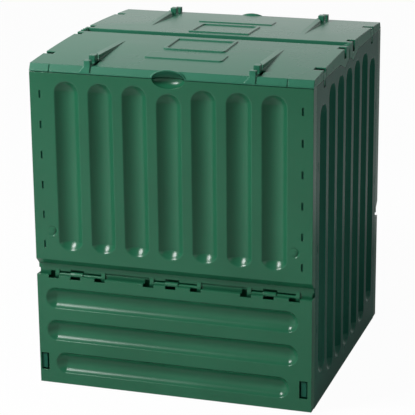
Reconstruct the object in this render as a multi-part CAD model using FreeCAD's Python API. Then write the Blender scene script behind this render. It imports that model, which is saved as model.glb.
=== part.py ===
# Square garden compost bin: four moulded walls that plug together, two hinged lid halves
# and two hinged emptying flaps. The bin is open underneath and stands on its walls.
# Millimetres, X to the right, Y from front to back, Z up, origin at the centre of the base.
import FreeCAD, Part
import math
import os

# Overall size
SIDE = 700.0
WALL = 3.0
WALL_TOP = 798.0
LID_RISE = 32.0
HALF = SIDE / 2
RIDGE_HEIGHT = WALL_TOP + LID_RISE

# Clearances between the mouldings
JOINT_GAP = 0.3
HINGE_GAP = 0.08
LID_GAP = 1.5
CUT_MARGIN = 1.0

# Concave grooves that stiffen every wall
GROOVE_WIDTH = 60.0
GROOVE_DEPTH = 16.0
GROOVES_PER_WALL = 7
GROOVE_MARGIN = 62.9
GROOVE_LEVELS = 2
DOME_SIDES = 8

# Flap and its hinge
FLAP_TOP = 287.0
FLAP_BOTTOM = 2.0
FLAP_GROOVES = 3
FLAP_GROOVE_WIDTH = 54.0
FLAP_GROOVE_TOP_MARGIN = 32.0
FLAP_GROOVE_BOTTOM_MARGIN = 29.0
FLAP_GROOVE_END_MARGIN = 30.0
LOW_GROOVE_END_MARGIN = 51.0
HINGE_INSET = 15.0
HINGE_RISE = 0.0
PIN_RADIUS = 4.0
HOOK_WALL = 2.9
HOOK_LEFT = 19.0
HOOK_RIGHT = 13.0
HOOK_CHEEK = 3.0
HOOK_SIDES = 7
HOOK_MOUTH_ANGLE = 110.0
FINGER_WIDTH = 9.0
FINGER_END_ANGLE = 200.0
LEDGE_DEPTH = 9.5
GROUP_PITCH = 246.0
GROUP_COUNT = 3
TONGUE_LEFT = 54.0
TONGUE_RIGHT = 66.0
TONGUE_WIDTH = 10.0
TONGUE_HEIGHT = 15.0
TONGUE_REACH = 10.5
NOTCH_LEFT = 19.0
NOTCH_RIGHT = 8.0
NOTCH_DEPTH = 7.5
HINGE_HEIGHT = FLAP_TOP + HINGE_RISE
HINGE_Y = HINGE_INSET - HALF
HOOK_RADIUS = PIN_RADIUS + HINGE_GAP + HOOK_WALL

# Hinge band under the front and rear wall, with the drip skirt behind it
BAND_RECESS = 16.0
BAND_HEIGHT = 28.5
BAND_CLEARANCE = 5.5
SKIRT_LENGTH = 27.5
SKIRT_CLEARANCE = 2.5
SKIRT_GAP = 0.5
CURTAIN_DROP = 5.0
CURTAIN_NOTCH = 14.0
HOOK_PLAY = 1.5
BAND_BOTTOM = HINGE_HEIGHT + HOOK_RADIUS + BAND_CLEARANCE
FRONT_BOTTOM = BAND_BOTTOM + BAND_HEIGHT
SKIRT_Y = HINGE_Y + HOOK_RADIUS + SKIRT_CLEARANCE
CORNER_RETURN = HALF + SKIRT_Y + WALL + SKIRT_GAP

# Grooves of the front and rear wall
FRONT_GROOVE_TOP_MARGIN = 17.0
FRONT_GROOVE_BOTTOM_MARGIN = 25.0
MIDDLE_GROOVE_TOP_MARGIN = 31.0

# Slots of the corner connectors
SLOT_INSET = 25.0
SLOT_WIDTH = 4.5
SLOT_HEIGHT = 18.5
SLOT_COUNT = 6
SLOT_TOP_MARGIN = 54.0
SLOT_BOTTOM_MARGIN = 39.0
HOOK_CLEARANCE = 0.3
HOOK_THICKNESS = 2.4
HOOK_SETBACK = 2.2
SLOT_X = HALF - SLOT_INSET

# Finger recess shared by wall and lid
RECESS_HALF_WIDTH = 40.5
RECESS_RADIUS = 21.0
RECESS_OVERCUT = 25.0
RECESS_FLATS = 5

# Latch windows of the flap and the lugs behind them
WINDOW_BOTTOM = 35.0
WINDOW_TOP = 80.0
WINDOW_WIDTH = 20.0
LEFT_WINDOW_INSET = 14.0
RIGHT_WINDOW_INSET = 20.0
LUG_MARGIN = 3.0
LUG_SETBACK = 4.0
LUG_SHIFT = 3.0

# Side wall
SIDE_GROOVE_TOP_MARGIN = 23.0
SIDE_GROOVE_BOTTOM = 35.0
END_GROOVE_TOP_MARGIN = 54.0
END_GROOVE_BOTTOM = 62.0
FLANGE_WIDTH = 47.0
V_OUTER = 95.0
V_APEX = 42.5
V_DEPTH = 18.0
PEAK_DROP = 1.0
LATCH_INSET = 102.0
LATCH_NOTCH_WIDTH = 19.0
LATCH_NOTCH_DEPTH = 18.0
MARK_INSET = 46.0
MARK_BOTTOM = 198.0
MARK_PITCH = 202.0
MARK_COUNT = 3
MARK_WIDTH = 3.0
MARK_LENGTH = 22.0
LATCH_Y = HALF - LATCH_INSET
V_APEX_Z = WALL_TOP - V_DEPTH
PEAK_Z = WALL_TOP - PEAK_DROP

# Lid pivots
PIVOT_Y = 7.0
PIVOT_DROP = 6.0
PIVOT_RADIUS = 3.0
SOCKET_WALL = 3.7
SOCKET_DEPTH = 5.5
TONGUE_THICKNESS = 9.0
TONGUE_START = 4.0
TONGUE_END = 31.0
TONGUE_TOP_DROP = 1.0
POST_THICKNESS = 4.7
POST_HALF_WIDTH = 15.0
POST_ABOVE_PIN = 4.0
POST_CLEARANCE = 1.5
POST_FOOT_BELOW = 4.0
POST_FOOT_ABOVE = 8.0
PIVOT_Z = RIDGE_HEIGHT - PIVOT_DROP

# Lid half
CHANNEL_HALF = 20.0
CHANNEL_LIFT = 5.0
LIP_GAP = 0.5
EDGE_INSET = 8.0
EDGE_RISE = 19.5
CROWN_BULGE = 2.3
FLEX_SLOT_START = 34.0
FLEX_SLOT_END = 55.0
FLEX_SLOT_INSET = 18.0
LATCH_WIDTH = 12.0
LATCH_TIP_WIDTH = 5.0
LATCH_REACH = 15.0
LATCH_SLIT_HALF = 15.5
LATCH_SLIT_RISE = 22.0
SLIT = 2.0
LEFT_STRIP_SLIT_INSET = 50.0
RIGHT_STRIP_SLIT_INSET = 63.0
LATCH_CUTOUT_INSET = 25.0
LATCH_CUTOUT_HALF = 10.0
LATCH_CUTOUT_RISE = 17.0
STRIP_BEAD = 3.0
EDGE_Y = HALF - EDGE_INSET
EDGE_Z = WALL_TOP + EDGE_RISE
CHANNEL_FLANGE_BOTTOM = WALL_TOP + CHANNEL_LIFT

# Raised details on the lid
FRAME_HALF_WIDTH = 79.0
FRAME_START = 45.0
FRAME_LENGTH = 112.0
FRAME_BORDER = 8.0
FRAME_RAISE = 2.5
PAD_HALF_WIDTH = 98.0
PAD_START = 190.0
PAD_LENGTH = 52.0
PAD_RAISE = 2.0
PLATE_CORNER = 9.0
RIB_X = 203.5
RIB_WIDTH = 15.0
RIB_START = 80.0
RIB_END_INSET = 65.0
RIB_CUT = 30.0
RIB_START_DROP = 1.6
RIB_END_RISE = 2.5
BLOCK_START_INSET = 59.0
BLOCK_END_INSET = 39.0
BLOCK_RISE = 6.5
POST_START_INSET = 19.0
POST_END_INSET = 5.0
POST_RISE = 13.5
POST_FLARE = 11.0
POST_FOOT_RAISE = 4.0
HOLE_WIDTH = 9.0


def vec(x, y, z):
    return FreeCAD.Vector(x, y, z)


def box(x0, x1, y0, y1, z0, z1):
    return Part.makeBox(x1 - x0, y1 - y0, z1 - z0, vec(x0, y0, z0))


def prism(points, direction):
    """Extrude a closed outline, given as 3-D corners, along one vector."""
    wire = Part.makePolygon(points + [points[0]])
    return Part.Face(wire).extrude(direction)


def prism_x(outline_yz, x0, x1):
    points = [vec(x0, y, z) for y, z in outline_yz]
    return prism(points, vec(x1 - x0, 0, 0))


def prism_z(outline_xy, z0, z1):
    points = [vec(x, y, z0) for x, y in outline_xy]
    return prism(points, vec(0, 0, z1 - z0))


def half_turn(shape):
    """The opposite moulding is the same one turned by half a turn about Z."""
    turned = shape.copy()
    turned.rotate(vec(0, 0, 0), vec(0, 0, 1), 180)
    return turned


def arc_radius(width):
    """Radius of the arc that a groove of this width follows down to its floor."""
    return (width ** 2 / 4 + GROOVE_DEPTH ** 2) / (2 * GROOVE_DEPTH)


def groove_levels(width):
    """Half widths and depths of the groove's outline, from above the mouth to the floor."""
    radius = arc_radius(width)
    half_angle = math.asin(width / 2 / radius)
    step = 2 * half_angle / (2 * GROOVE_LEVELS + 1)
    angles = [half_angle - index * step for index in range(GROOVE_LEVELS + 1)]
    centre = radius - GROOVE_DEPTH
    levels = [(radius * math.sin(a), radius * math.cos(a) - centre) for a in angles]
    slope = (levels[0][0] - levels[1][0]) / (levels[1][1] - levels[0][1])
    levels[0] = (levels[0][0] + slope * CUT_MARGIN, -CUT_MARGIN)
    return levels


def stadium(half, low, high, depth):
    """Corners of a groove's outline at one depth: straight sides and round ends."""
    corners = []
    for centre, start in ((high, 0), (low, math.pi)):
        for index in range(DOME_SIDES + 1):
            angle = start + math.pi * index / DOME_SIDES
            corners.append(vec(half * math.cos(angle), depth, centre + half * math.sin(angle)))
    return corners


def flat_face(corners):
    return Part.Face(Part.makePolygon(corners + corners[:1]))


def hollow_body(width, low, high):
    """Groove along Z, with its depth along +Y, made of flats between its outlines."""
    outlines = [stadium(half, low, high, depth) for half, depth in groove_levels(width)]
    faces = [flat_face(outlines[0]), flat_face(outlines[-1])]
    for outer, inner in zip(outlines, outlines[1:]):
        for index in range(len(outer)):
            before = index - 1
            faces.append(flat_face([outer[before], outer[index], inner[index], inner[before]]))
    return Part.makeSolid(Part.makeShell(faces))


def rib_body(width, low, high):
    """Hipped rib behind a groove: flats that touch the groove's arc and domes one wall out."""
    radius = arc_radius(width) + WALL
    centre = radius - WALL - GROOVE_DEPTH
    lean = math.asin(width / 2 / arc_radius(width)) * 2 / 3
    corner = radius / math.cos(lean / 2)
    floor_x = corner * math.sin(lean / 2)
    floor_depth = corner * math.cos(lean / 2) - centre
    root_depth = WALL / 2
    root_x = floor_x + (floor_depth - root_depth) / math.tan(lean)
    across = prism_z([(-root_x, root_depth), (-floor_x, floor_depth),
                      (floor_x, floor_depth), (root_x, root_depth)],
                     low - root_x, high + root_x)
    along = prism_x([(root_depth, low - root_x), (floor_depth, low - floor_x),
                     (floor_depth, high + floor_x), (root_depth, high + root_x)],
                    -root_x, root_x)
    return across.common(along)


def groove_pair(width, start, end):
    """The hollow and the rib behind it, for a groove whose round ends touch start and end."""
    low = start + width / 2
    high = end - width / 2
    return hollow_body(width, low, high), rib_body(width, low, high)


def moulded(panel, pairs):
    """A panel with each rib added behind it and each hollow cut in front."""
    ribs = [rib for hollow, rib in pairs]
    hollows = [hollow for hollow, rib in pairs]
    return panel.fuse(ribs).cut(hollows)


def groove_offsets():
    """Places of the upright grooves, even between the margins of a wall."""
    reach = HALF - GROOVE_MARGIN - GROOVE_WIDTH / 2
    pitch = 2 * reach / (GROOVES_PER_WALL - 1)
    return [index * pitch - reach for index in range(GROOVES_PER_WALL)]


def finger_recess(extra, first_angle, last_angle):
    """Slice of a lemon-shaped hollow turned about a line along X in the seam under the lid.

    Angles run from the inward direction, positive upwards; extra is the wall round it.
    """
    half = RECESS_HALF_WIDTH + extra
    radius = RECESS_RADIUS + extra
    ends = [vec(-half, -HALF, WALL_TOP), vec(half, -HALF, WALL_TOP)]
    arc = Part.Arc(ends[0], vec(0, radius - HALF, WALL_TOP), ends[1]).toShape()
    face = flat_face(arc.discretize(RECESS_FLATS + 1))
    face.rotate(ends[0], vec(1, 0, 0), first_angle)
    return face.revolve(ends[0], vec(1, 0, 0), last_angle - first_angle)


def hinge_centres():
    middle = (GROUP_COUNT - 1) / 2
    return [(index - middle) * GROUP_PITCH for index in range(GROUP_COUNT)]


def tongue_places():
    places = []
    for centre in hinge_centres():
        places.append((centre - TONGUE_LEFT, centre + TONGUE_RIGHT))
    return places


def slot_heights():
    low = FRONT_BOTTOM + SLOT_BOTTOM_MARGIN
    pitch = (WALL_TOP - SLOT_TOP_MARGIN - low) / (SLOT_COUNT - 1)
    return [low + index * pitch for index in range(SLOT_COUNT)]


def front_wall():
    """Upper wall: grooved tray with a recessed hinge band along its lower edge."""
    face_y = -HALF
    band_y = face_y + BAND_RECESS
    band_z = FRONT_BOTTOM - BAND_RECESS
    section = [
        (face_y, WALL_TOP),
        (face_y, FRONT_BOTTOM),
        (band_y, band_z),
        (band_y, BAND_BOTTOM),
        (band_y + WALL, BAND_BOTTOM),
        (band_y + WALL, band_z + WALL / 2),
        (face_y + WALL, FRONT_BOTTOM + WALL / 2),
        (face_y + WALL, WALL_TOP),
    ]
    panel = prism_x(section, -HALF, HALF)
    return_y = face_y + CORNER_RETURN - JOINT_GAP
    corner = [
        (face_y, WALL_TOP),
        (face_y, FRONT_BOTTOM),
        (band_y, band_z),
        (return_y, band_z),
        (return_y, WALL_TOP),
    ]
    corners = [prism_x(corner, -HALF, WALL - HALF), prism_x(corner, HALF - WALL, HALF)]
    bowl = finger_recess(WALL, -90, 0)
    wall = panel.fuse(corners + [bowl, drip_skirt(), hinge_curtain()])
    pairs = []
    for x in groove_offsets():
        margin = MIDDLE_GROOVE_TOP_MARGIN if abs(x) < 1 else FRONT_GROOVE_TOP_MARGIN
        hollow, rib = groove_pair(GROOVE_WIDTH, FRONT_BOTTOM + FRONT_GROOVE_BOTTOM_MARGIN,
                                  WALL_TOP - margin)
        for piece in (hollow, rib):
            piece.translate(vec(x, face_y, 0))
        pairs.append((hollow, rib))
    wall = moulded(wall, pairs)
    wall = wall.fuse(hinge_tongues())
    bowl_hollow = finger_recess(0, -90 - RECESS_OVERCUT, RECESS_OVERCUT)
    return wall.cut([bowl_hollow] + connector_slots()).removeSplitter()


def drip_skirt():
    """Shelf and hanging skirt behind the hinge pins, under the full width of the band."""
    half_width = HALF - WALL - SKIRT_GAP
    return prism_x([
        (BAND_RECESS - HALF, BAND_BOTTOM + WALL),
        (BAND_RECESS - HALF, BAND_BOTTOM),
        (SKIRT_Y, BAND_BOTTOM),
        (SKIRT_Y, BAND_BOTTOM - SKIRT_LENGTH),
        (SKIRT_Y + WALL, BAND_BOTTOM - SKIRT_LENGTH),
        (SKIRT_Y + WALL, BAND_BOTTOM + WALL),
    ], -half_width, half_width)


def hinge_curtain():
    """Strip that carries the band on down behind the flap's ledge, open round the hooks."""
    half_width = HALF - WALL - SKIRT_GAP
    front = BAND_RECESS - HALF
    bottom = FLAP_TOP - CURTAIN_DROP
    curtain = box(-half_width, half_width, front, front + WALL, bottom, BAND_BOTTOM + WALL)
    low_top = HINGE_HEIGHT + HOOK_RADIUS
    spans = []
    for centre in hinge_centres():
        left = centre - TONGUE_LEFT - TONGUE_WIDTH / 2
        right = centre + TONGUE_RIGHT - TONGUE_WIDTH / 2
        spans.append((left - CURTAIN_NOTCH, left, low_top))
        spans.append((left + TONGUE_WIDTH, right, low_top))
        spans.append((centre - HOOK_LEFT - HOOK_PLAY, centre + HOOK_RIGHT + HOOK_PLAY,
                      BAND_BOTTOM))
    openings = []
    for x0, x1, top in spans:
        openings.append(box(x0, x1, front - CUT_MARGIN, front + WALL + CUT_MARGIN,
                            bottom - CUT_MARGIN, top))
    return curtain.cut(openings)


def connector_slots():
    """Upright slots near both corners for the side walls' hooks."""
    cuts = []
    for side in (-1, 1):
        for z in slot_heights():
            x = side * SLOT_X
            cuts.append(box(x - SLOT_WIDTH / 2, x + SLOT_WIDTH / 2, -HALF - CUT_MARGIN,
                            WALL + CUT_MARGIN - HALF, z - SLOT_HEIGHT / 2, z + SLOT_HEIGHT / 2))
    return cuts


def hinge_tongues():
    """Pairs of tongues under the band, each pair holding a round cross pin."""
    back = BAND_RECESS + WALL - HALF
    outline = [
        (back, HINGE_HEIGHT - TONGUE_REACH),
        (HINGE_Y - PIN_RADIUS / 2, HINGE_HEIGHT - TONGUE_REACH),
        (HINGE_Y - PIN_RADIUS, HINGE_HEIGHT - PIN_RADIUS),
        (HINGE_Y - PIN_RADIUS, HINGE_HEIGHT + PIN_RADIUS),
        (back - WALL, HINGE_HEIGHT + TONGUE_HEIGHT),
        (back, HINGE_HEIGHT + TONGUE_HEIGHT),
    ]
    pieces = []
    for first, last in tongue_places():
        pieces.append(Part.makeCylinder(PIN_RADIUS, last - first,
                                        vec(first, HINGE_Y, HINGE_HEIGHT), vec(1, 0, 0)))
        for x in (first, last):
            pieces.append(prism_x(outline, x - TONGUE_WIDTH / 2, x + TONGUE_WIDTH / 2))
    return pieces


def front_flap():
    """Emptying flap: tray with three long grooves, hung from the wall's pins."""
    face_y = -HALF
    section = [
        (face_y, FLAP_BOTTOM),
        (face_y, FLAP_TOP),
        (face_y + LEDGE_DEPTH, FLAP_TOP),
        (face_y + LEDGE_DEPTH, FLAP_TOP - WALL),
        (face_y + WALL, FLAP_TOP - WALL),
        (face_y + WALL, FLAP_BOTTOM),
    ]
    panel = prism_x(section, -HALF, HALF)
    return_y = face_y + CORNER_RETURN - JOINT_GAP
    corners = [
        box(-HALF, WALL - HALF, face_y, return_y, FLAP_BOTTOM, FLAP_TOP),
        box(HALF - WALL, HALF, face_y, return_y, FLAP_BOTTOM, FLAP_TOP),
    ]
    highest = FLAP_TOP - FLAP_GROOVE_TOP_MARGIN - FLAP_GROOVE_WIDTH / 2
    lowest = FLAP_BOTTOM + FLAP_GROOVE_BOTTOM_MARGIN + FLAP_GROOVE_WIDTH / 2
    pitch = (highest - lowest) / (FLAP_GROOVES - 1)
    pairs = []
    for index in range(FLAP_GROOVES):
        margin = LOW_GROOVE_END_MARGIN if index == 0 else FLAP_GROOVE_END_MARGIN
        hollow, rib = groove_pair(FLAP_GROOVE_WIDTH, margin - HALF, HALF - margin)
        for piece in (hollow, rib):
            piece.rotate(vec(0, 0, 0), vec(0, 1, 0), 90)
            piece.translate(vec(0, face_y, lowest + index * pitch))
        pairs.append((hollow, rib))
    flap = moulded(panel.fuse(corners), pairs)
    flap = flap.cut(edge_notches() + latch_windows())
    flap = flap.fuse(hook_solids())
    return flap.cut(pin_clearances()).removeSplitter()


def edge_notches():
    """Notches in the flap's upper edge for the wall's tongues and between the hooks' cheeks."""
    spans = [(x - NOTCH_LEFT, x + NOTCH_RIGHT) for pair in tongue_places() for x in pair]
    for centre in hinge_centres():
        spans.append((centre - HOOK_LEFT + HOOK_CHEEK, centre + HOOK_RIGHT - HOOK_CHEEK))
    cuts = []
    for x0, x1 in spans:
        cuts.append(box(x0, x1, -HALF - CUT_MARGIN, LEDGE_DEPTH + CUT_MARGIN - HALF,
                        FLAP_TOP - NOTCH_DEPTH, FLAP_TOP + CUT_MARGIN))
    return cuts


def latch_windows():
    cuts = []
    for x in (LEFT_WINDOW_INSET - HALF, HALF - RIGHT_WINDOW_INSET):
        cuts.append(box(x - WINDOW_WIDTH / 2, x + WINDOW_WIDTH / 2, -HALF - CUT_MARGIN,
                        WALL + CUT_MARGIN - HALF, WINDOW_BOTTOM, WINDOW_TOP))
    return cuts


def hook_solids():
    """Snap hooks round the pin: a full one beside a finger that only reaches over it."""
    pieces = []
    for centre in hinge_centres():
        start = centre - HOOK_LEFT
        middle = start + FINGER_WIDTH
        end = centre + HOOK_RIGHT
        pieces.append(prism_x(hook_outline(360 - HOOK_MOUTH_ANGLE / 2), start, middle))
        pieces.append(prism_x(hook_outline(FINGER_END_ANGLE), middle, end))
        for x0, x1 in ((start, start + HOOK_CHEEK), (end - HOOK_CHEEK, end)):
            pieces.append(box(x0, x1, WALL / 2 - HALF, HINGE_Y - PIN_RADIUS / 2,
                              FLAP_TOP - WALL, FLAP_TOP))
    return pieces


def hook_outline(end_angle):
    """Sector round the pin, open towards the back, from the mouth's upper edge onwards."""
    first = HOOK_MOUTH_ANGLE / 2
    outline = [(HINGE_Y, HINGE_HEIGHT)]
    for index in range(HOOK_SIDES + 1):
        angle = math.radians(first + index * (end_angle - first) / HOOK_SIDES)
        outline.append((HINGE_Y + HOOK_RADIUS * math.cos(angle),
                        HINGE_HEIGHT + HOOK_RADIUS * math.sin(angle)))
    return outline


def pin_clearances():
    cuts = []
    for centre in hinge_centres():
        start = centre - HOOK_LEFT - CUT_MARGIN
        length = HOOK_LEFT + HOOK_RIGHT + 2 * CUT_MARGIN
        cuts.append(Part.makeCylinder(PIN_RADIUS + HINGE_GAP, length,
                                      vec(start, HINGE_Y, HINGE_HEIGHT), vec(1, 0, 0)))
    return cuts


def side_top_edge():
    """Top edge of a side wall from front to back: latch notches, V-notches and a peak."""
    near = LATCH_Y - LATCH_NOTCH_WIDTH / 2
    far = LATCH_Y + LATCH_NOTCH_WIDTH / 2
    floor_z = WALL_TOP - LATCH_NOTCH_DEPTH
    half_edge = [
        (far, WALL_TOP),
        (far, floor_z),
        (near, floor_z),
        (near, WALL_TOP),
        (V_OUTER, WALL_TOP),
        (V_APEX, V_APEX_Z),
    ]
    front = [(-y, z) for y, z in half_edge]
    return front + [(0, PEAK_Z)] + list(reversed(half_edge))


def side_wall_right():
    """Side wall: grooved panel, folded corner flanges with hooks and lugs, hinge post."""
    edge = HALF - CORNER_RETURN
    outline = [(-edge, 0), (-edge, WALL_TOP)] + side_top_edge() + [(edge, WALL_TOP), (edge, 0)]
    panel = prism_x(outline, HALF - WALL, HALF)
    flange_inner = HALF - WALL - FLANGE_WIDTH
    flanges = [
        box(flange_inner, HALF, -edge, WALL - edge, 0, WALL_TOP),
        box(flange_inner, HALF, edge - WALL, edge, 0, WALL_TOP),
    ]
    wall = panel.fuse(flanges + corner_hooks(edge) + flap_lugs(edge))
    pairs = []
    for y in groove_offsets():
        outermost = abs(y) > HALF - GROOVE_MARGIN - GROOVE_WIDTH
        margin = END_GROOVE_TOP_MARGIN if outermost else SIDE_GROOVE_TOP_MARGIN
        bottom = END_GROOVE_BOTTOM if outermost else SIDE_GROOVE_BOTTOM
        hollow, rib = groove_pair(GROOVE_WIDTH, bottom, WALL_TOP - margin)
        for piece in (hollow, rib):
            piece.rotate(vec(0, 0, 0), vec(0, 0, 1), 90)
            piece.translate(vec(HALF, y, 0))
        pairs.append((hollow, rib))
    wall = moulded(wall, pairs)
    wall = wall.fuse(hinge_post())
    return wall.cut(margin_marks()).removeSplitter()


def corner_hooks(edge):
    """Flat hooks on both flanges that plug into the slots of the front and rear wall."""
    height = SLOT_HEIGHT - 2 * HOOK_CLEARANCE
    reach = HALF - HOOK_SETBACK
    pieces = []
    for z in slot_heights():
        for y0, y1 in ((-reach, WALL - edge), (edge - WALL, reach)):
            pieces.append(box(SLOT_X - HOOK_THICKNESS / 2, SLOT_X + HOOK_THICKNESS / 2,
                              y0, y1, z - height / 2, z + height / 2))
    return pieces


def flap_lugs(edge):
    """Lugs behind the flap's latch windows; the two ends of the wall differ."""
    reach = HALF - LUG_SETBACK
    half = WINDOW_WIDTH / 2 - LUG_MARGIN
    low = WINDOW_BOTTOM + LUG_MARGIN
    high = WINDOW_TOP - LUG_MARGIN
    front = HALF - RIGHT_WINDOW_INSET
    rear = HALF - LEFT_WINDOW_INSET + LUG_SHIFT
    return [
        box(front - half, front + half, -reach, WALL - edge, low, high),
        box(rear - half, rear + half, edge - WALL, reach, low, high),
    ]


def hinge_post():
    """Post behind the peak with one stub pin for each lid half."""
    outer = HALF - TONGUE_THICKNESS - JOINT_GAP
    inner = outer - POST_THICKNESS
    top = PIVOT_Z + POST_ABOVE_PIN
    foot_z = V_APEX_Z - POST_FOOT_BELOW
    shoulder = top - POST_HALF_WIDTH / 2
    plate = prism_x([
        (-POST_HALF_WIDTH, foot_z),
        (POST_HALF_WIDTH, foot_z),
        (POST_HALF_WIDTH, shoulder),
        (POST_HALF_WIDTH / 2, top),
        (-POST_HALF_WIDTH / 2, top),
        (-POST_HALF_WIDTH, shoulder),
    ], inner, outer)
    foot = box(inner, HALF - WALL / 2, -POST_HALF_WIDTH, POST_HALF_WIDTH, foot_z,
               V_APEX_Z + POST_FOOT_ABOVE)
    pins = []
    for y in (-PIVOT_Y, PIVOT_Y):
        pins.append(Part.makeCylinder(PIVOT_RADIUS, POST_THICKNESS + SOCKET_DEPTH,
                                      vec(inner, y, PIVOT_Z), vec(1, 0, 0)))
    return [plate, foot] + pins


def margin_marks():
    """Short blind slots in the plain margins beside the outermost grooves."""
    cuts = []
    for side in (-1, 1):
        for index in range(MARK_COUNT):
            y = side * (HALF - MARK_INSET)
            z = MARK_BOTTOM + index * MARK_PITCH
            cuts.append(box(HALF - WALL / 2, HALF + CUT_MARGIN, y - MARK_WIDTH / 2,
                            y + MARK_WIDTH / 2, z - MARK_LENGTH / 2, z + MARK_LENGTH / 2))
    return cuts


def crown_face(x, drop, start, end, bottom, edge_bottom):
    """Side view of the lid, lowered by drop, between the channel and the sloped edge."""
    p0 = vec(x, -start, RIDGE_HEIGHT - drop)
    p1 = vec(x, -(start + end) / 2, (RIDGE_HEIGHT + EDGE_Z) / 2 + CROWN_BULGE - drop)
    p2 = vec(x, -end, EDGE_Z - drop)
    p3 = vec(x, -edge_bottom, bottom)
    p4 = vec(x, -start, bottom)
    edges = [
        Part.Arc(p0, p1, p2).toShape(),
        Part.makeLine(p2, p3),
        Part.makeLine(p3, p4),
        Part.makeLine(p4, p0),
    ]
    return Part.Face(Part.Wire(edges))


def lid_shell():
    """Crowned top with a sloped front edge, side skirts and a channel flange."""
    bottom = WALL_TOP + LID_GAP
    outer = crown_face(-HALF, 0, CHANNEL_HALF, EDGE_Y, bottom, HALF)
    inner = crown_face(WALL - HALF, WALL, CHANNEL_HALF + WALL, EDGE_Y - WALL,
                       bottom - CUT_MARGIN, HALF - WALL)
    shell = outer.extrude(vec(SIDE, 0, 0)).cut(inner.extrude(vec(SIDE - 2 * WALL, 0, 0)))
    relief = box(WALL - HALF, HALF - WALL, -CHANNEL_HALF - WALL - CUT_MARGIN,
                 CUT_MARGIN - CHANNEL_HALF, bottom - CUT_MARGIN, CHANNEL_FLANGE_BOTTOM)
    bead = box(-HALF, HALF, -HALF, STRIP_BEAD / 2 - HALF, bottom, bottom + STRIP_BEAD)
    return shell.cut(relief).fuse(bead)


def v_gap_line():
    """Lower edge of the skirt over the V-notch and up to the peak, front to middle."""
    rise = (PEAK_Z - V_APEX_Z) / V_APEX
    tongue_z = PEAK_Z - rise * TONGUE_START + LID_GAP
    return [(-V_OUTER, WALL_TOP + LID_GAP), (-V_APEX, V_APEX_Z + LID_GAP),
            (-TONGUE_START, tongue_z)]


def pivot_tongues():
    """Foot in the V-notch and pivot tongue at each end of the lid, with its socket boss."""
    top = RIDGE_HEIGHT - TONGUE_TOP_DROP
    outline = v_gap_line() + [(-TONGUE_START, top), (-CHANNEL_HALF - WALL, top),
                              (-V_OUTER, EDGE_Z)]
    shorter = box(-HALF, HALF, -TONGUE_END, 0, V_APEX_Z, RIDGE_HEIGHT)
    pieces = []
    for x0, x1 in ((-HALF, WALL - HALF), (HALF - WALL, HALF)):
        pieces.append(prism_x(outline, x0, x1))
    boss_radius = PIVOT_RADIUS + HINGE_GAP + SOCKET_WALL
    for x in (-HALF, HALF - TONGUE_THICKNESS):
        block = prism_x(outline, x, x + TONGUE_THICKNESS).common(shorter)
        boss = Part.makeCylinder(boss_radius, TONGUE_THICKNESS, vec(x, -PIVOT_Y, PIVOT_Z),
                                 vec(1, 0, 0))
        pieces.append(block.fuse(boss))
    return pieces


def pivot_sockets():
    """Blind sockets for the stub pins, open towards the middle of the bin."""
    depth = SOCKET_DEPTH + JOINT_GAP
    starts = (TONGUE_THICKNESS - HALF - depth, HALF - TONGUE_THICKNESS)
    cuts = []
    for x in starts:
        cuts.append(Part.makeCylinder(PIVOT_RADIUS + HINGE_GAP, depth,
                                      vec(x, -PIVOT_Y, PIVOT_Z), vec(1, 0, 0)))
    return cuts


def wind_latches():
    """Pointed spring tongues in the side skirts that dip into the walls' latch notches."""
    skirt_z = WALL_TOP + LID_GAP
    outline = [
        (-LATCH_Y - LATCH_WIDTH / 2, skirt_z + WALL),
        (-LATCH_Y - LATCH_WIDTH / 2, skirt_z),
        (-LATCH_Y - LATCH_TIP_WIDTH / 2, skirt_z - LATCH_REACH),
        (-LATCH_Y + LATCH_TIP_WIDTH / 2, skirt_z - LATCH_REACH),
        (-LATCH_Y + LATCH_WIDTH / 2, skirt_z),
        (-LATCH_Y + LATCH_WIDTH / 2, skirt_z + WALL),
    ]
    return [prism_x(outline, -HALF, WALL - HALF), prism_x(outline, HALF - WALL, HALF)]


def lid_slits():
    """Cutouts that free the latches and pivot tongues, and slits in the front strip."""
    cuts = []
    outside = HALF + CUT_MARGIN
    inside = HALF - WALL - CUT_MARGIN
    for x0, x1 in ((-outside, -inside), (inside, outside)):
        for side in (-1, 1):
            y = -LATCH_Y + side * LATCH_SLIT_HALF
            cuts.append(box(x0, x1, y - SLIT / 2, y + SLIT / 2, WALL_TOP - CUT_MARGIN,
                            WALL_TOP + LATCH_SLIT_RISE))
    for side in (-1, 1):
        x0, x1 = sorted((side * (HALF - FLEX_SLOT_INSET), side * outside))
        cuts.append(box(x0, x1, -FLEX_SLOT_END, -FLEX_SLOT_START, CHANNEL_FLANGE_BOTTOM,
                        RIDGE_HEIGHT + CUT_MARGIN))
        x0, x1 = sorted((side * (HALF - LATCH_CUTOUT_INSET), side * outside))
        cuts.append(box(x0, x1, -LATCH_Y - LATCH_CUTOUT_HALF, LATCH_CUTOUT_HALF - LATCH_Y,
                        WALL_TOP + LATCH_CUTOUT_RISE, RIDGE_HEIGHT + CUT_MARGIN))
    for x in (LEFT_STRIP_SLIT_INSET - HALF, HALF - RIGHT_STRIP_SLIT_INSET):
        cuts.append(box(x - SLIT / 2, x + SLIT / 2, -HALF - CUT_MARGIN, WALL - HALF,
                        WALL_TOP, EDGE_Z - CUT_MARGIN))
    return cuts


def plan_block(half_width, start, end, radius):
    """Rectangle seen from above, its two corners near the edge rounded, as a tall block."""
    block = box(-half_width, half_width, -end, -start, WALL_TOP, RIDGE_HEIGHT + BLOCK_RISE)
    near = [edge for edge in block.Edges if edge.BoundBox.YMax < -end + 1
            and edge.BoundBox.XLength < 1]
    return block.makeFillet(radius, near)


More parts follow.
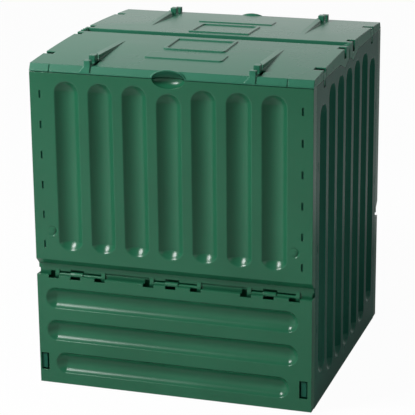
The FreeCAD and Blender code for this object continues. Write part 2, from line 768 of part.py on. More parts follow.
def raised_plate(half_width, start, end, raise_by):
    """Low plate that follows the crown, raise_by above the lid's top."""
    slab = crown_face(-HALF, -raise_by, CHANNEL_HALF, EDGE_Y, WALL_TOP, EDGE_Y)
    slab = slab.extrude(vec(SIDE, 0, 0))
    below = crown_face(-HALF, WALL / 2, CHANNEL_HALF, EDGE_Y, WALL_TOP, EDGE_Y)
    slab = slab.cut(below.extrude(vec(SIDE, 0, 0)))
    return slab.common(plan_block(half_width, start, end, PLATE_CORNER))


def lid_plates():
    """Bare name frame beside the channel and a plain raised pad near the edge."""
    end = FRAME_START + FRAME_LENGTH
    frame = raised_plate(FRAME_HALF_WIDTH, FRAME_START, end, FRAME_RAISE)
    field = raised_plate(FRAME_HALF_WIDTH - FRAME_BORDER, FRAME_START + FRAME_BORDER,
                         end - FRAME_BORDER, 2 * FRAME_RAISE)
    pad = raised_plate(PAD_HALF_WIDTH, PAD_START, PAD_START + PAD_LENGTH, PAD_RAISE)
    return [frame.cut(field), pad]


def lid_ribs():
    """Two tapered ribs, each ending in a block and a small post at the lid's edge."""
    end = HALF - RIB_END_INSET
    block_top = RIDGE_HEIGHT + BLOCK_RISE
    side_view = [
        (-RIB_START, RIDGE_HEIGHT - RIB_START_DROP),
        (-RIB_START, EDGE_Z),
        (-end, EDGE_Z),
        (-end, RIDGE_HEIGHT + RIB_END_RISE),
    ]
    pieces = []
    for centre in (-RIB_X, RIB_X):
        x0 = centre - RIB_WIDTH / 2
        x1 = centre + RIB_WIDTH / 2
        rib = prism_x(side_view, x0, x1)
        corner = prism_z([(x0 - CUT_MARGIN, RIB_CUT - end), (x1, -end),
                          (x0 - CUT_MARGIN, -end - CUT_MARGIN)], EDGE_Z, block_top)
        pieces.append(rib.cut(corner))
        pieces.append(box(x0, x1, BLOCK_END_INSET - HALF, BLOCK_START_INSET - HALF,
                          EDGE_Z, block_top))
        pieces.append(box(x0, x1, POST_END_INSET - HALF, POST_START_INSET - HALF,
                          EDGE_Z - WALL, EDGE_Z + POST_RISE))
        pieces.append(post_foot(x0, x1))
    return pieces


def post_foot(x0, x1):
    """Buttress that runs from a post down over the front strip and widens to the left."""
    low = WALL_TOP + LID_GAP + STRIP_BEAD
    side_view = prism_x([
        (EDGE_INSET - HALF, EDGE_Z),
        (POST_END_INSET - HALF, EDGE_Z),
        (-HALF, low + POST_FOOT_RAISE),
        (-HALF, low),
        (WALL - HALF, low),
    ], x0 - POST_FLARE, x1)
    front_y = -HALF - CUT_MARGIN
    outline = [vec(x0, front_y, EDGE_Z), vec(x1, front_y, EDGE_Z), vec(x1, front_y, low),
               vec(x0 - POST_FLARE, front_y, low)]
    return side_view.common(prism(outline, vec(0, EDGE_INSET + 2 * CUT_MARGIN, 0)))


def lid_hood():
    """Arched hood over the finger recess."""
    above_seam = box(-HALF, HALF, -HALF, 0, WALL_TOP + LID_GAP, RIDGE_HEIGHT)
    return finger_recess(WALL, 0, 90).common(above_seam)


def gutter_lip():
    """Lip at the foot of the channel flange; it meets the other half's lip at the middle."""
    end = HALF - TONGUE_THICKNESS - JOINT_GAP - POST_THICKNESS - POST_CLEARANCE
    return box(-end, end, -CHANNEL_HALF - WALL, -LIP_GAP, CHANNEL_FLANGE_BOTTOM,
               CHANNEL_FLANGE_BOTTOM + WALL)


def rib_holes():
    """Openings in the lid's top beside each block."""
    cuts = []
    for centre in (-RIB_X, RIB_X):
        x = centre + RIB_WIDTH / 2
        cuts.append(box(x, x + HOLE_WIDTH, POST_START_INSET - HALF, BLOCK_START_INSET - HALF,
                        EDGE_Z - 2 * WALL, RIDGE_HEIGHT))
    return cuts


def front_lid():
    lid = lid_shell().fuse(pivot_tongues() + wind_latches() + lid_plates() + lid_ribs()
                           + [lid_hood(), gutter_lip()])
    hood_hollow = finger_recess(0, -RECESS_OVERCUT, 90 + RECESS_OVERCUT)
    return lid.cut([hood_hollow] + pivot_sockets() + lid_slits()
                   + rib_holes()).removeSplitter()


def write_parts(shapes):
    os.makedirs("parts", exist_ok=True)
    for name, shape in shapes.items():
        shape.exportStep("parts/" + name + ".step")


wall = front_wall()
flap = front_flap()
side = side_wall_right()
lid = front_lid()
write_parts({
    "front_wall": wall,
    "rear_wall": half_turn(wall),
    "side_wall_right": side,
    "side_wall_left": half_turn(side),
    "front_flap": flap,
    "rear_flap": half_turn(flap),
    "front_lid": lid,
    "rear_lid": half_turn(lid),
})
for name, shape in (("wall", wall), ("flap", flap), ("side", side), ("lid", lid)):
    box_of = shape.BoundBox
    print(name, "valid", shape.isValid(), "solids", len(shape.Solids),
          "volume", round(shape.Volume / 1000), "cm3",
          "z", round(box_of.ZMin, 1), round(box_of.ZMax, 1))
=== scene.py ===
import math

import bmesh
import bpy
from mathutils import Matrix, Vector


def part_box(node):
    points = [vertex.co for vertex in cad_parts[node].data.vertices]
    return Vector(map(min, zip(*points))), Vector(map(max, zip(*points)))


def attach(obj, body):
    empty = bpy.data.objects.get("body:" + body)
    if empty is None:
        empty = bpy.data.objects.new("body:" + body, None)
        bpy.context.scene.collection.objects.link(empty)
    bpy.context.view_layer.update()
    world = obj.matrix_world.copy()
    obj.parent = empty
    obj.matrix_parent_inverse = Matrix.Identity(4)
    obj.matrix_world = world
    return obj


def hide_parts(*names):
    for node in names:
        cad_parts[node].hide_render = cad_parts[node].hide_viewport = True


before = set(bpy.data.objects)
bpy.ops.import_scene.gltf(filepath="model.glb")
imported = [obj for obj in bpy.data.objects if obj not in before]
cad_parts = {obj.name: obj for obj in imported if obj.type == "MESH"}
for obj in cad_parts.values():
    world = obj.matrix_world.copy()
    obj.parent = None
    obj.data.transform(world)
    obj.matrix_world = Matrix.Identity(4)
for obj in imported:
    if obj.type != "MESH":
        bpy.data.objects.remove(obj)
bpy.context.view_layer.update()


# Studio
# A white floor and backdrop, one large soft lamp high on the left and a much
# weaker one on the right, and the camera at the photograph's angle.

CAMERA_PLACE = Vector((1.3383, -4.2163, 1.7623))
CAMERA_AIM = Vector((-0.0191, 0.0, 0.3813))
CAMERA_ROLL = math.radians(-0.575)
CAMERA_LENS = 156.34
SENSOR_WIDTH = 36.0
CAMERA_REACH = 50.0
LAMP_AIM = Vector((0.0, 0.0, 0.4))
KEY_LAMP_PLACE = Vector((-2.31, -2.17, 3.13))
KEY_LAMP_WIDTH = 1.54
KEY_LAMP_POWER = 167.0
SIDE_LAMP_PLACE = Vector((3.6, -1.2, 2.6))
SIDE_LAMP_WIDTH = 2.0
SIDE_LAMP_POWER = 8.0
SKY_COLOUR = (0.93, 0.97, 1.0, 1.0)
SKY_STRENGTH = 0.18
CEILING_FROM = 0.3
CEILING_FULL = 0.7
FLOOR_COLOUR = (0.85, 0.85, 0.85, 1.0)
FLOOR_WHITENESS = 0.97
FLOOR_REACH = 12.0


def placed_camera():
    data = bpy.data.cameras.new("camera")
    data.lens = CAMERA_LENS
    data.sensor_width = SENSOR_WIDTH
    data.clip_end = CAMERA_REACH
    camera = bpy.data.objects.new("camera", data)
    turn = (CAMERA_AIM - CAMERA_PLACE).to_track_quat("-Z", "Y").to_matrix()
    roll = Matrix.Rotation(CAMERA_ROLL, 3, "Z")
    camera.matrix_world = Matrix.Translation(CAMERA_PLACE) @ (turn @ roll).to_4x4()
    bpy.context.scene.collection.objects.link(camera)
    bpy.context.scene.camera = camera


def soft_lamp(name, place, width, power):
    data = bpy.data.lights.new(name, "AREA")
    data.shape = "DISK"
    data.size = width
    data.energy = power
    lamp = bpy.data.objects.new(name, data)
    lamp.location = place
    lamp.rotation_mode = "QUATERNION"
    lamp.rotation_quaternion = (LAMP_AIM - place).to_track_quat("-Z", "Y")
    bpy.context.scene.collection.objects.link(lamp)


def seen_directly(nodes, links):
    """1 for rays that show the backdrop: straight from the camera, mirrored or let through."""
    path = nodes.new("ShaderNodeLightPath")
    either = nodes.new("ShaderNodeMath")
    either.operation = "MAXIMUM"
    links.new(path.outputs["Is Camera Ray"], either.inputs[0])
    links.new(path.outputs["Is Glossy Ray"], either.inputs[1])
    every = nodes.new("ShaderNodeMath")
    every.operation = "MAXIMUM"
    links.new(either.outputs[0], every.inputs[0])
    links.new(path.outputs["Is Transmission Ray"], every.inputs[1])
    return every.outputs[0]


def studio_sky():
    """White backdrop all round; for mirrored rays it fades to a dim ceiling overhead."""
    world = bpy.data.worlds.new("studio sky")
    bpy.context.scene.world = world
    world.use_nodes = True
    nodes, links = world.node_tree.nodes, world.node_tree.links
    nodes.clear()
    light = nodes.new("ShaderNodeBackground")
    light.inputs["Color"].default_value = SKY_COLOUR
    light.inputs["Strength"].default_value = SKY_STRENGTH
    white = nodes.new("ShaderNodeBackground")
    white.inputs["Strength"].default_value = 1.0
    white.inputs["Color"].default_value = (1.0, 1.0, 1.0, 1.0)
    mix = nodes.new("ShaderNodeMixShader")
    out = nodes.new("ShaderNodeOutputWorld")
    way = nodes.new("ShaderNodeSeparateXYZ")
    links.new(nodes.new("ShaderNodeTexCoord").outputs["Generated"], way.inputs[0])
    ceiling = nodes.new("ShaderNodeMapRange")
    ceiling.inputs["From Min"].default_value = CEILING_FROM
    ceiling.inputs["From Max"].default_value = CEILING_FULL
    links.new(way.outputs["Z"], ceiling.inputs["Value"])
    mirrored = nodes.new("ShaderNodeLightPath")
    dim = nodes.new("ShaderNodeMath")
    dim.operation = "MULTIPLY"
    links.new(ceiling.outputs["Result"], dim.inputs[0])
    links.new(mirrored.outputs["Is Glossy Ray"], dim.inputs[1])
    shown = nodes.new("ShaderNodeMath")
    shown.operation = "SUBTRACT"
    shown.use_clamp = True
    links.new(seen_directly(nodes, links), shown.inputs[0])
    links.new(dim.outputs[0], shown.inputs[1])
    links.new(shown.outputs[0], mix.inputs["Fac"])
    links.new(light.outputs[0], mix.inputs[1])
    links.new(white.outputs[0], mix.inputs[2])
    links.new(mix.outputs[0], out.inputs["Surface"])


def pale_floor():
    """White floor that keeps the bin's shadow: matt, and seen nearly as plain white."""
    material = bpy.data.materials.new("pale floor")
    material.use_nodes = True
    nodes, links = material.node_tree.nodes, material.node_tree.links
    nodes.clear()
    matt = nodes.new("ShaderNodeBsdfDiffuse")
    matt.inputs["Color"].default_value = FLOOR_COLOUR
    glow = nodes.new("ShaderNodeEmission")
    glow.inputs["Strength"].default_value = 1.0
    camera_only = nodes.new("ShaderNodeLightPath")
    share = nodes.new("ShaderNodeMapRange")
    share.inputs["To Min"].default_value = 0.0
    share.inputs["To Max"].default_value = FLOOR_WHITENESS
    links.new(camera_only.outputs["Is Camera Ray"], share.inputs["Value"])
    seen_share = nodes.new("ShaderNodeMath")
    seen_share.operation = "MULTIPLY"
    links.new(share.outputs["Result"], seen_share.inputs[1])
    mix = nodes.new("ShaderNodeMixShader")
    out = nodes.new("ShaderNodeOutputMaterial")
    links.new(seen_directly(nodes, links), seen_share.inputs[0])
    links.new(seen_share.outputs[0], mix.inputs["Fac"])
    links.new(matt.outputs[0], mix.inputs[1])
    links.new(glow.outputs[0], mix.inputs[2])
    links.new(mix.outputs[0], out.inputs["Surface"])
    mesh = bpy.data.meshes.new("floor")
    corners = [(x * FLOOR_REACH, y * FLOOR_REACH, 0)
               for x, y in ((-1, -1), (1, -1), (1, 1), (-1, 1))]
    mesh.from_pydata(corners, [], [(0, 1, 2, 3)])
    mesh.materials.append(material)
    floor = bpy.data.objects.new("floor", mesh)
    bpy.context.scene.collection.objects.link(floor)


placed_camera()
soft_lamp("key lamp", KEY_LAMP_PLACE, KEY_LAMP_WIDTH, KEY_LAMP_POWER)
soft_lamp("side lamp", SIDE_LAMP_PLACE, SIDE_LAMP_WIDTH, SIDE_LAMP_POWER)
studio_sky()
pale_floor()
bpy.context.scene.view_settings.view_transform = "Standard"


# Front wall and rear wall
# Injection-moulded polypropylene, mid green with a low sheen: a flat face with
# seven upright grooves, a finger bowl at the top and a hinge band at the foot.
# The rear wall is the same moulding turned half a turn.

WALL = 0.003
WALL_HEIGHT = 0.470
NEAR = 0.00004
GROOVE_WIDTH = 0.060
GROOVE_DEPTH = 0.016
GROOVE_COUNT = 7
GROOVE_MARGIN = 0.0629
GROOVE_TOP_MARGIN = 0.017
GROOVE_BOTTOM_MARGIN = 0.025
MIDDLE_TOP_MARGIN = 0.031
GROOVE_SLOPES = (0.5, 0.16)
LONGER_ABOVE = 0.0005
LONGER_BELOW = 0.008
RIB_MARGIN = 2.1 * WALL
SOFT_RIM = 0.004
BACK_RIM = 0.001
BACK_SHORTER = 0.003
DOME_STEPS = 44
ARC_STEPS = 24
RECESS_HALF_WIDTH = 0.0405
RECESS_RADIUS = 0.021
RECESS_CUTS = 3
RECESS_NEAREST = -0.32
RECESS_FARTHEST = 0.06
RECESS_FACING = 0.6
RECESS_PULLS = 4
LEAST_SLIDE = 1e-6
BOSS_RINGS = ((0.002, 0.0), (0.005, 0.0001), (0.0072, 0.0004), (0.0085, 0.0013),
              (0.0098, 0.0024), (0.0108, 0.0027), (0.0122, 0.0019), (0.0135, 0.0))
BOSS_SHIFT = 0.0035
BOSS_SIDES = 40
BOSS_X = 0.305
BOSS_Z = 0.402
BAND_PLACE = -0.334
SEAM_LOW = 0.2955
SEAM_HIGH = 0.2988
SEAM_DEPTH = 0.0023
SEAM_SPANS = ((-0.174, -0.062), (0.072, 0.184))
SAME_FLAT = 0.999
SAME_SIDE = 0.9994
SHARP_FROM = math.radians(32)
FLAT_WEIGHT = 60
PLASTIC_IOR = 1.49
CLOUD_SIZE = 5.0
CLOUD_DETAIL = 4.0
CLOUD_EDGES = (0.3, 0.7)
CLOUD_TINTS = (0.93, 1.07)
SHEEN_PLAY = 0.04
GRAIN_SIZE = 900.0
GRAIN_DETAIL = 2.0
GRAIN_STRENGTH = 0.06
GRAIN_DEPTH = 0.0003
ROUNDING_SAMPLES = 6
EDGE_ROUNDING = 0.002
GREEN = (0.015, 0.117, 0.058)
GREEN_ROUGHNESS = 0.22
GREEN_GLOSS = 0.3

half, wall_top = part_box("front_wall")[1].xz
wall_bottom = wall_top - WALL_HEIGHT


def plastic(name, colour, roughness, gloss, edge):
    """Moulded polypropylene: even green, faint clouds, fine grain, edges just rounded."""
    material = bpy.data.materials.new(name)
    material.use_nodes = True
    nodes, links = material.node_tree.nodes, material.node_tree.links
    shader = nodes["Principled BSDF"]
    shader.inputs["Specular IOR Level"].default_value = gloss
    shader.inputs["IOR"].default_value = PLASTIC_IOR
    place = nodes.new("ShaderNodeTexCoord")
    clouds = nodes.new("ShaderNodeTexNoise")
    clouds.inputs["Scale"].default_value = CLOUD_SIZE
    clouds.inputs["Detail"].default_value = CLOUD_DETAIL
    links.new(place.outputs["Object"], clouds.inputs["Vector"])
    tint = nodes.new("ShaderNodeValToRGB")
    for stop, spot, share in zip(tint.color_ramp.elements, CLOUD_EDGES, CLOUD_TINTS):
        stop.position = spot
        stop.color = [share * c for c in colour] + [1.0]
    links.new(clouds.outputs["Fac"], tint.inputs["Fac"])
    links.new(tint.outputs["Color"], shader.inputs["Base Color"])
    sheen = nodes.new("ShaderNodeMapRange")
    sheen.inputs["To Min"].default_value = roughness - SHEEN_PLAY
    sheen.inputs["To Max"].default_value = roughness + SHEEN_PLAY
    links.new(clouds.outputs["Fac"], sheen.inputs["Value"])
    links.new(sheen.outputs["Result"], shader.inputs["Roughness"])
    grain = nodes.new("ShaderNodeTexNoise")
    grain.inputs["Scale"].default_value = GRAIN_SIZE
    grain.inputs["Detail"].default_value = GRAIN_DETAIL
    links.new(place.outputs["Object"], grain.inputs["Vector"])
    rounding = nodes.new("ShaderNodeBevel")
    rounding.samples = ROUNDING_SAMPLES
    rounding.inputs["Radius"].default_value = edge
    bump = nodes.new("ShaderNodeBump")
    bump.inputs["Strength"].default_value = GRAIN_STRENGTH
    bump.inputs["Distance"].default_value = GRAIN_DEPTH
    links.new(rounding.outputs["Normal"], bump.inputs["Normal"])
    links.new(grain.outputs["Fac"], bump.inputs["Height"])
    links.new(bump.outputs["Normal"], shader.inputs["Normal"])
    return material


def number(tree, operation, *values):
    """A maths node: each value is a number or another node's output."""
    node = tree.nodes.new("ShaderNodeMath")
    node.operation = operation
    for socket, value in zip(node.inputs, values):
        if isinstance(value, (int, float)):
            socket.default_value = value
        else:
            tree.links.new(value, socket)
    return node.outputs[0]


def groove_row_tree():
    """Row of round-ended grooves: rings of one outline that narrow and deepen along an arc."""
    tree = bpy.data.node_groups.new("row of grooves", "GeometryNodeTree")
    face = tree.interface
    face.new_socket("Geometry", in_out="INPUT", socket_type="NodeSocketGeometry")
    for name in ("Arc radius", "Arc centre depth", "Face depth", "Mouth half width",
                 "Soft rim", "Low slope", "High slope", "Low end", "High end", "First place",
                 "Pitch"):
        face.new_socket(name, in_out="INPUT", socket_type="NodeSocketFloat")
    for name in ("Grooves", "Dome steps", "Arc steps"):
        face.new_socket(name, in_out="INPUT", socket_type="NodeSocketInt")
    face.new_socket("Plastic", in_out="INPUT", socket_type="NodeSocketMaterial")
    face.new_socket("Geometry", in_out="OUTPUT", socket_type="NodeSocketGeometry")
    size = tree.nodes.new("NodeGroupInput").outputs
    last_column = number(tree, "MULTIPLY_ADD", size["Dome steps"], 2.0, 2.0)
    grid = tree.nodes.new("GeometryNodeMeshGrid")
    tree.links.new(last_column, grid.inputs["Size X"])
    tree.links.new(size["Arc steps"], grid.inputs["Size Y"])
    tree.links.new(number(tree, "ADD", last_column, 1.0), grid.inputs["Vertices X"])
    tree.links.new(number(tree, "ADD", size["Arc steps"], 1.0), grid.inputs["Vertices Y"])
    place = tree.nodes.new("ShaderNodeSeparateXYZ")
    tree.links.new(tree.nodes.new("GeometryNodeInputPosition").outputs[0], place.inputs[0])
    column = number(tree, "ADD", place.outputs["X"], number(tree, "DIVIDE", last_column, 2.0))
    row = number(tree, "ADD", place.outputs["Y"], number(tree, "DIVIDE", size["Arc steps"], 2.0))
    angles = []
    starts = (0.0, number(tree, "ADD", size["Dome steps"], 1.0))
    for start in starts:
        turn = tree.nodes.new("ShaderNodeMapRange")
        tree.links.new(column, turn.inputs["Value"])
        if start:
            tree.links.new(start, turn.inputs["From Min"])
            tree.links.new(number(tree, "ADD", start, size["Dome steps"]),
                           turn.inputs["From Max"])
        else:
            turn.inputs["From Min"].default_value = 0.0
            tree.links.new(size["Dome steps"], turn.inputs["From Max"])
        turn.inputs["To Min"].default_value = 0.0
        turn.inputs["To Max"].default_value = math.pi
        angles.append(turn.outputs["Result"])
    angle = number(tree, "ADD", *angles)
    past_top = number(tree, "GREATER_THAN", column, number(tree, "ADD", size["Dome steps"], 0.5))
    before_close = number(tree, "LESS_THAN", column, number(tree, "SUBTRACT", last_column, 0.5))
    lower = number(tree, "MULTIPLY", past_top, before_close)
    span = number(tree, "SUBTRACT", size["Low end"], size["High end"])
    centre = number(tree, "MULTIPLY_ADD", lower, span, size["High end"])
    tilt = number(tree, "MULTIPLY_ADD", number(tree, "DIVIDE", row, size["Arc steps"]),
                  -math.pi / 2, math.pi / 2)
    across = number(tree, "MULTIPLY", number(tree, "SINE", tilt), size["Mouth half width"])
    rise = number(tree, "SQRT", number(
        tree, "SUBTRACT", number(tree, "MULTIPLY", size["Arc radius"], size["Arc radius"]),
        number(tree, "MULTIPLY", across, across)))
    beyond = number(tree, "MULTIPLY", across, number(tree, "SINE", angle))
    arc_depth = number(tree, "ADD", rise, size["Arc centre depth"])
    slope = number(tree, "MULTIPLY_ADD", lower, number(
        tree, "SUBTRACT", size["Low slope"], size["High slope"]), size["High slope"])
    ramped = number(tree, "SUBTRACT", arc_depth, number(
        tree, "MULTIPLY", number(tree, "ABSOLUTE", beyond), slope))
    depth = number(tree, "SMOOTH_MAX", ramped, size["Face depth"], size["Soft rim"])
    spot = tree.nodes.new("ShaderNodeCombineXYZ")
    tree.links.new(number(tree, "MULTIPLY", across, number(tree, "COSINE", angle)),
                   spot.inputs["X"])
    tree.links.new(depth, spot.inputs["Y"])
    tree.links.new(number(tree, "ADD", beyond, centre), spot.inputs["Z"])
    shaped = tree.nodes.new("GeometryNodeSetPosition")
    tree.links.new(grid.outputs["Mesh"], shaped.inputs["Geometry"])
    tree.links.new(spot.outputs[0], shaped.inputs["Position"])
    closed = tree.nodes.new("GeometryNodeMergeByDistance")
    closed.inputs["Distance"].default_value = NEAR
    tree.links.new(shaped.outputs[0], closed.inputs["Geometry"])
    line = tree.nodes.new("GeometryNodeMeshLine")
    tree.links.new(size["Grooves"], line.inputs["Count"])
    for socket, name in (("Start Location", "First place"), ("Offset", "Pitch")):
        along = tree.nodes.new("ShaderNodeCombineXYZ")
        tree.links.new(size[name], along.inputs["X"])
        tree.links.new(along.outputs[0], line.inputs[socket])
    copies = tree.nodes.new("GeometryNodeInstanceOnPoints")
    tree.links.new(line.outputs[0], copies.inputs["Points"])
    tree.links.new(closed.outputs[0], copies.inputs["Instance"])
    real = tree.nodes.new("GeometryNodeRealizeInstances")
    tree.links.new(copies.outputs[0], real.inputs[0])
    finish = tree.nodes.new("GeometryNodeSetMaterial")
    tree.links.new(real.outputs[0], finish.inputs["Geometry"])
    tree.links.new(size["Plastic"], finish.inputs["Material"])
    tree.links.new(finish.outputs[0], tree.nodes.new("NodeGroupOutput").inputs[0])
    return tree


groove_rows = groove_row_tree()


def grown_mesh(tree, **sizes):
    """The plain mesh that a node tree grows for these sizes."""
    holder = bpy.data.objects.new("grown", bpy.data.meshes.new("grown"))
    bpy.context.scene.collection.objects.link(holder)
    grower = holder.modifiers.new("grower", "NODES")
    grower.node_group = tree
    for socket in tree.interface.items_tree:
        key = socket.name.replace(" ", "_").lower()
        if socket.in_out == "INPUT" and key in sizes:
            grower[socket.identifier] = sizes[key]
    graph = bpy.context.evaluated_depsgraph_get()
    mesh = bpy.data.meshes.new_from_object(holder.evaluated_get(graph))
    bpy.data.objects.remove(holder)
    return mesh


def groove_skins(width, depth, low, high, slopes, places, material):
    """Front and back skins of like grooves, in line along X, upright, with depth along +Y."""
    radius = (width ** 2 / 4 + depth ** 2) / (2 * depth)
    centre_depth = depth - radius
    pitch = places[1] - places[0] if len(places) > 1 else 0.0
    skins = []
    for extra, face_depth, rim, shorter in ((0.0, 0.0, min(SOFT_RIM, depth / 3), 0.0),
                                            (WALL, WALL, BACK_RIM, BACK_SHORTER)):
        edge = face_depth - centre_depth - 2 * rim
        low_end = low + width / 2
        high_end = max(low_end, high - width / 2 - shorter)
        skins.append(grown_mesh(
            groove_rows, arc_radius=radius + extra, arc_centre_depth=centre_depth,
            face_depth=face_depth, mouth_half_width=math.sqrt((radius + extra) ** 2 - edge ** 2),
            soft_rim=rim, low_slope=slopes[0], high_slope=slopes[1], low_end=low_end,
            high_end=high_end, first_place=places[0], pitch=pitch, grooves=len(places),
            dome_steps=DOME_STEPS, arc_steps=ARC_STEPS, plastic=material))
    return skins


def merged_copy(node):
    """The node's triangles as one connected mesh, to be refined."""
    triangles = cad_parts[node].data
    bare = bpy.data.meshes.new("bare")
    bare.from_pydata([corner.co for corner in triangles.vertices], [],
                     [tuple(face.vertices) for face in triangles.polygons])
    made = bmesh.new()
    made.from_mesh(bare)
    bmesh.ops.remove_doubles(made, verts=made.verts, dist=NEAR)
    bmesh.ops.dissolve_degenerate(made, edges=made.edges, dist=NEAR / 4)
    return made


def without_grooves(made, footprints, outward, face_place):
    """Takes away the coarse grooves and their ribs, and the flat faces that hold them."""
    doomed = []
    for face in made.faces:
        depths = [face_place - corner.co.dot(outward) for corner in face.verts]
        flat = abs(face.normal.dot(outward)) > SAME_FLAT
        on_skin = flat and (all(abs(d) < NEAR for d in depths)
                            or all(abs(d - WALL) < NEAR for d in depths))
        in_groove = max(depths) > NEAR and any(
            all(footprint(corner.co) for corner in face.verts) for footprint in footprints)
        if on_skin or in_groove:
            doomed.append(face)
    bmesh.ops.delete(made, geom=doomed, context="FACES")


def refaced(made, outward, face_place):
    """Fills the two flat faces again, round the new grooves and the old openings."""
    for depth in (0.0, WALL):
        rims = []
        for edge in made.edges:
            if len(edge.link_faces) == 1 and all(
                    abs(face_place - corner.co.dot(outward) - depth) < NEAR
                    for corner in edge.verts):
                rims.append(edge)
        bmesh.ops.triangle_fill(made, edges=rims, normal=outward, use_beauty=True)


def egg_pull(co, extra):
    """How far a point is from the finger recess's surface, and the way straight out of it."""
    wide, deep = RECESS_HALF_WIDTH + extra, RECESS_RADIUS + extra
    place = Vector((co.x, co.y + half, co.z - wall_top))
    reach = (place.x / wide) ** 2 + (place.y ** 2 + place.z ** 2) / deep ** 2
    way = Vector((place.x / wide ** 2, place.y / deep ** 2, place.z / deep ** 2))
    return reach - 1.0, way


def rounded_recess(made):
    """Makes the coarse finger recess truly round: finer faces, drawn onto the egg shape."""
    layer = made.faces.layers.int.new("curved")
    for extra, facing in ((0.0, -1), (WALL, 1)):
        curved = []
        for face in made.faces:
            face[layer] = 0
            pulls = [egg_pull(corner.co, extra) for corner in face.verts]
            if all(RECESS_NEAREST < reach < RECESS_FARTHEST
                   and facing * way.normalized().dot(face.normal) > RECESS_FACING
                   for reach, way in pulls):
                face[layer] = 1
                curved.append(face)
        edges = {edge for face in curved for edge in face.edges}
        bmesh.ops.subdivide_edges(made, edges=list(edges), cuts=RECESS_CUTS,
                                  use_grid_fill=True)
        made.normal_update()
        for corner in {corner for face in made.faces if face[layer] for corner in face.verts}:
            walls = []
            for face in corner.link_faces:
                if not face[layer] and all(
                        face.normal.dot(wall) < SAME_SIDE for wall in walls):
                    walls.append(face.normal.copy())
            if len(walls) > 1:
                continue
            for pull in range(RECESS_PULLS):
                reach, way = egg_pull(corner.co, extra)
                slide = way - walls[0] * way.dot(walls[0]) if walls else way
                if slide.length > LEAST_SLIDE:
                    corner.co -= slide * (reach / (2 * way.dot(slide)))
        made.normal_update()
    made.faces.layers.int.remove(layer)


def smooth_object(name, made, material, body, node):
    """Drops loose points, turns the faces outward, keeps flats flat and curves smooth, and hangs it
    on its body.
    """
    loose = [corner for corner in made.verts if not corner.link_faces]
    bmesh.ops.delete(made, geom=loose, context="VERTS")
    bmesh.ops.recalc_face_normals(made, faces=made.faces)
    mesh = bpy.data.meshes.new(name)
    made.to_mesh(mesh)
    mesh.materials.append(material)
    for face in mesh.polygons:
        face.use_smooth = True
        face.material_index = 0
    mesh.set_sharp_from_angle(angle=SHARP_FROM)
    piece = bpy.data.objects.new(name, mesh)
    bpy.context.scene.collection.objects.link(piece)
    even = piece.modifiers.new("flat faces stay flat", "WEIGHTED_NORMAL")
    even.keep_sharp = True
    even.weight = FLAT_WEIGHT
    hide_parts(node)
    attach(piece, body)
    return piece


def turned_half(made):
    other = made.copy()
    bmesh.ops.rotate(other, verts=other.verts, matrix=Matrix.Rotation(math.pi, 3, "Z"))
    return other


def groove_places():
    reach = half - GROOVE_MARGIN - GROOVE_WIDTH / 2
    pitch = 2 * reach / (GROOVE_COUNT - 1)
    return [index * pitch - reach for index in range(GROOVE_COUNT)]


def sunk_boss(made, x, z):
    """A low round boss level with the face, with a hollow round it that is deepest at the right."""
    rings = []
    for radius, depth in BOSS_RINGS:
        ring = []
        middle = x - BOSS_SHIFT * (1 - radius / BOSS_RINGS[-1][0])
        for side in range(BOSS_SIDES):
            angle = 2 * math.pi * side / BOSS_SIDES
            share = (1 + math.cos(angle)) / 2
            ring.append(made.verts.new((middle + radius * math.cos(angle), share * depth - half,
                                        z + radius * math.sin(angle))))
        rings.append(ring)
    made.faces.new(rings[0])
    for inner, outer in zip(rings, rings[1:]):
        for side in range(BOSS_SIDES):
            after = (side + 1) % BOSS_SIDES
            made.faces.new((inner[side], inner[after], outer[after], outer[side]))


def cut_away(made, blocks):
    """Takes closed blocks out of a closed mesh."""
    holders = []
    for shape in (made, blocks):
        mesh = bpy.data.meshes.new("shape")
        shape.to_mesh(mesh)
        holder = bpy.data.objects.new("shape", mesh)
        bpy.context.scene.collection.objects.link(holder)
        holders.append(holder)
    body, cutter = holders
    cut = body.modifiers.new("cut", "BOOLEAN")
    cut.operation = "DIFFERENCE"
    cut.solver = "EXACT"
    cut.object = cutter
    graph = bpy.context.evaluated_depsgraph_get()
    cut_mesh = bpy.data.meshes.new_from_object(body.evaluated_get(graph))
    for holder in holders:
        bpy.data.objects.remove(holder)
    made.clear()
    made.from_mesh(cut_mesh)


def thin_blocks(spans, section):
    """Closed blocks along X, one for each span, with one four-cornered section."""
    blocks = bmesh.new()
    for span in spans:
        ends = [[blocks.verts.new((x, spot.y, spot.z)) for spot in section] for x in span]
        blocks.faces.new(ends[0])
        blocks.faces.new(ends[1])
        for index in range(4):
            after = (index + 1) % 4
            blocks.faces.new((ends[0][index], ends[0][after], ends[1][after], ends[1][index]))
    bmesh.ops.recalc_face_normals(blocks, faces=blocks.faces)
    return blocks


def cut_band_seams(made):
    """Shallow seams along the foot of the hinge band, between the groups of hooks."""
    front, back = BAND_PLACE - SEAM_DEPTH, BAND_PLACE + SEAM_DEPTH
    section = [Vector((0, y, z)) for y, z in ((front, SEAM_LOW), (back, SEAM_LOW),
                                              (back, SEAM_HIGH), (front, SEAM_HIGH))]
    cut_away(made, thin_blocks(SEAM_SPANS, section))


green_plastic = plastic("green plastic", GREEN, GREEN_ROUGHNESS, GREEN_GLOSS, EDGE_ROUNDING)


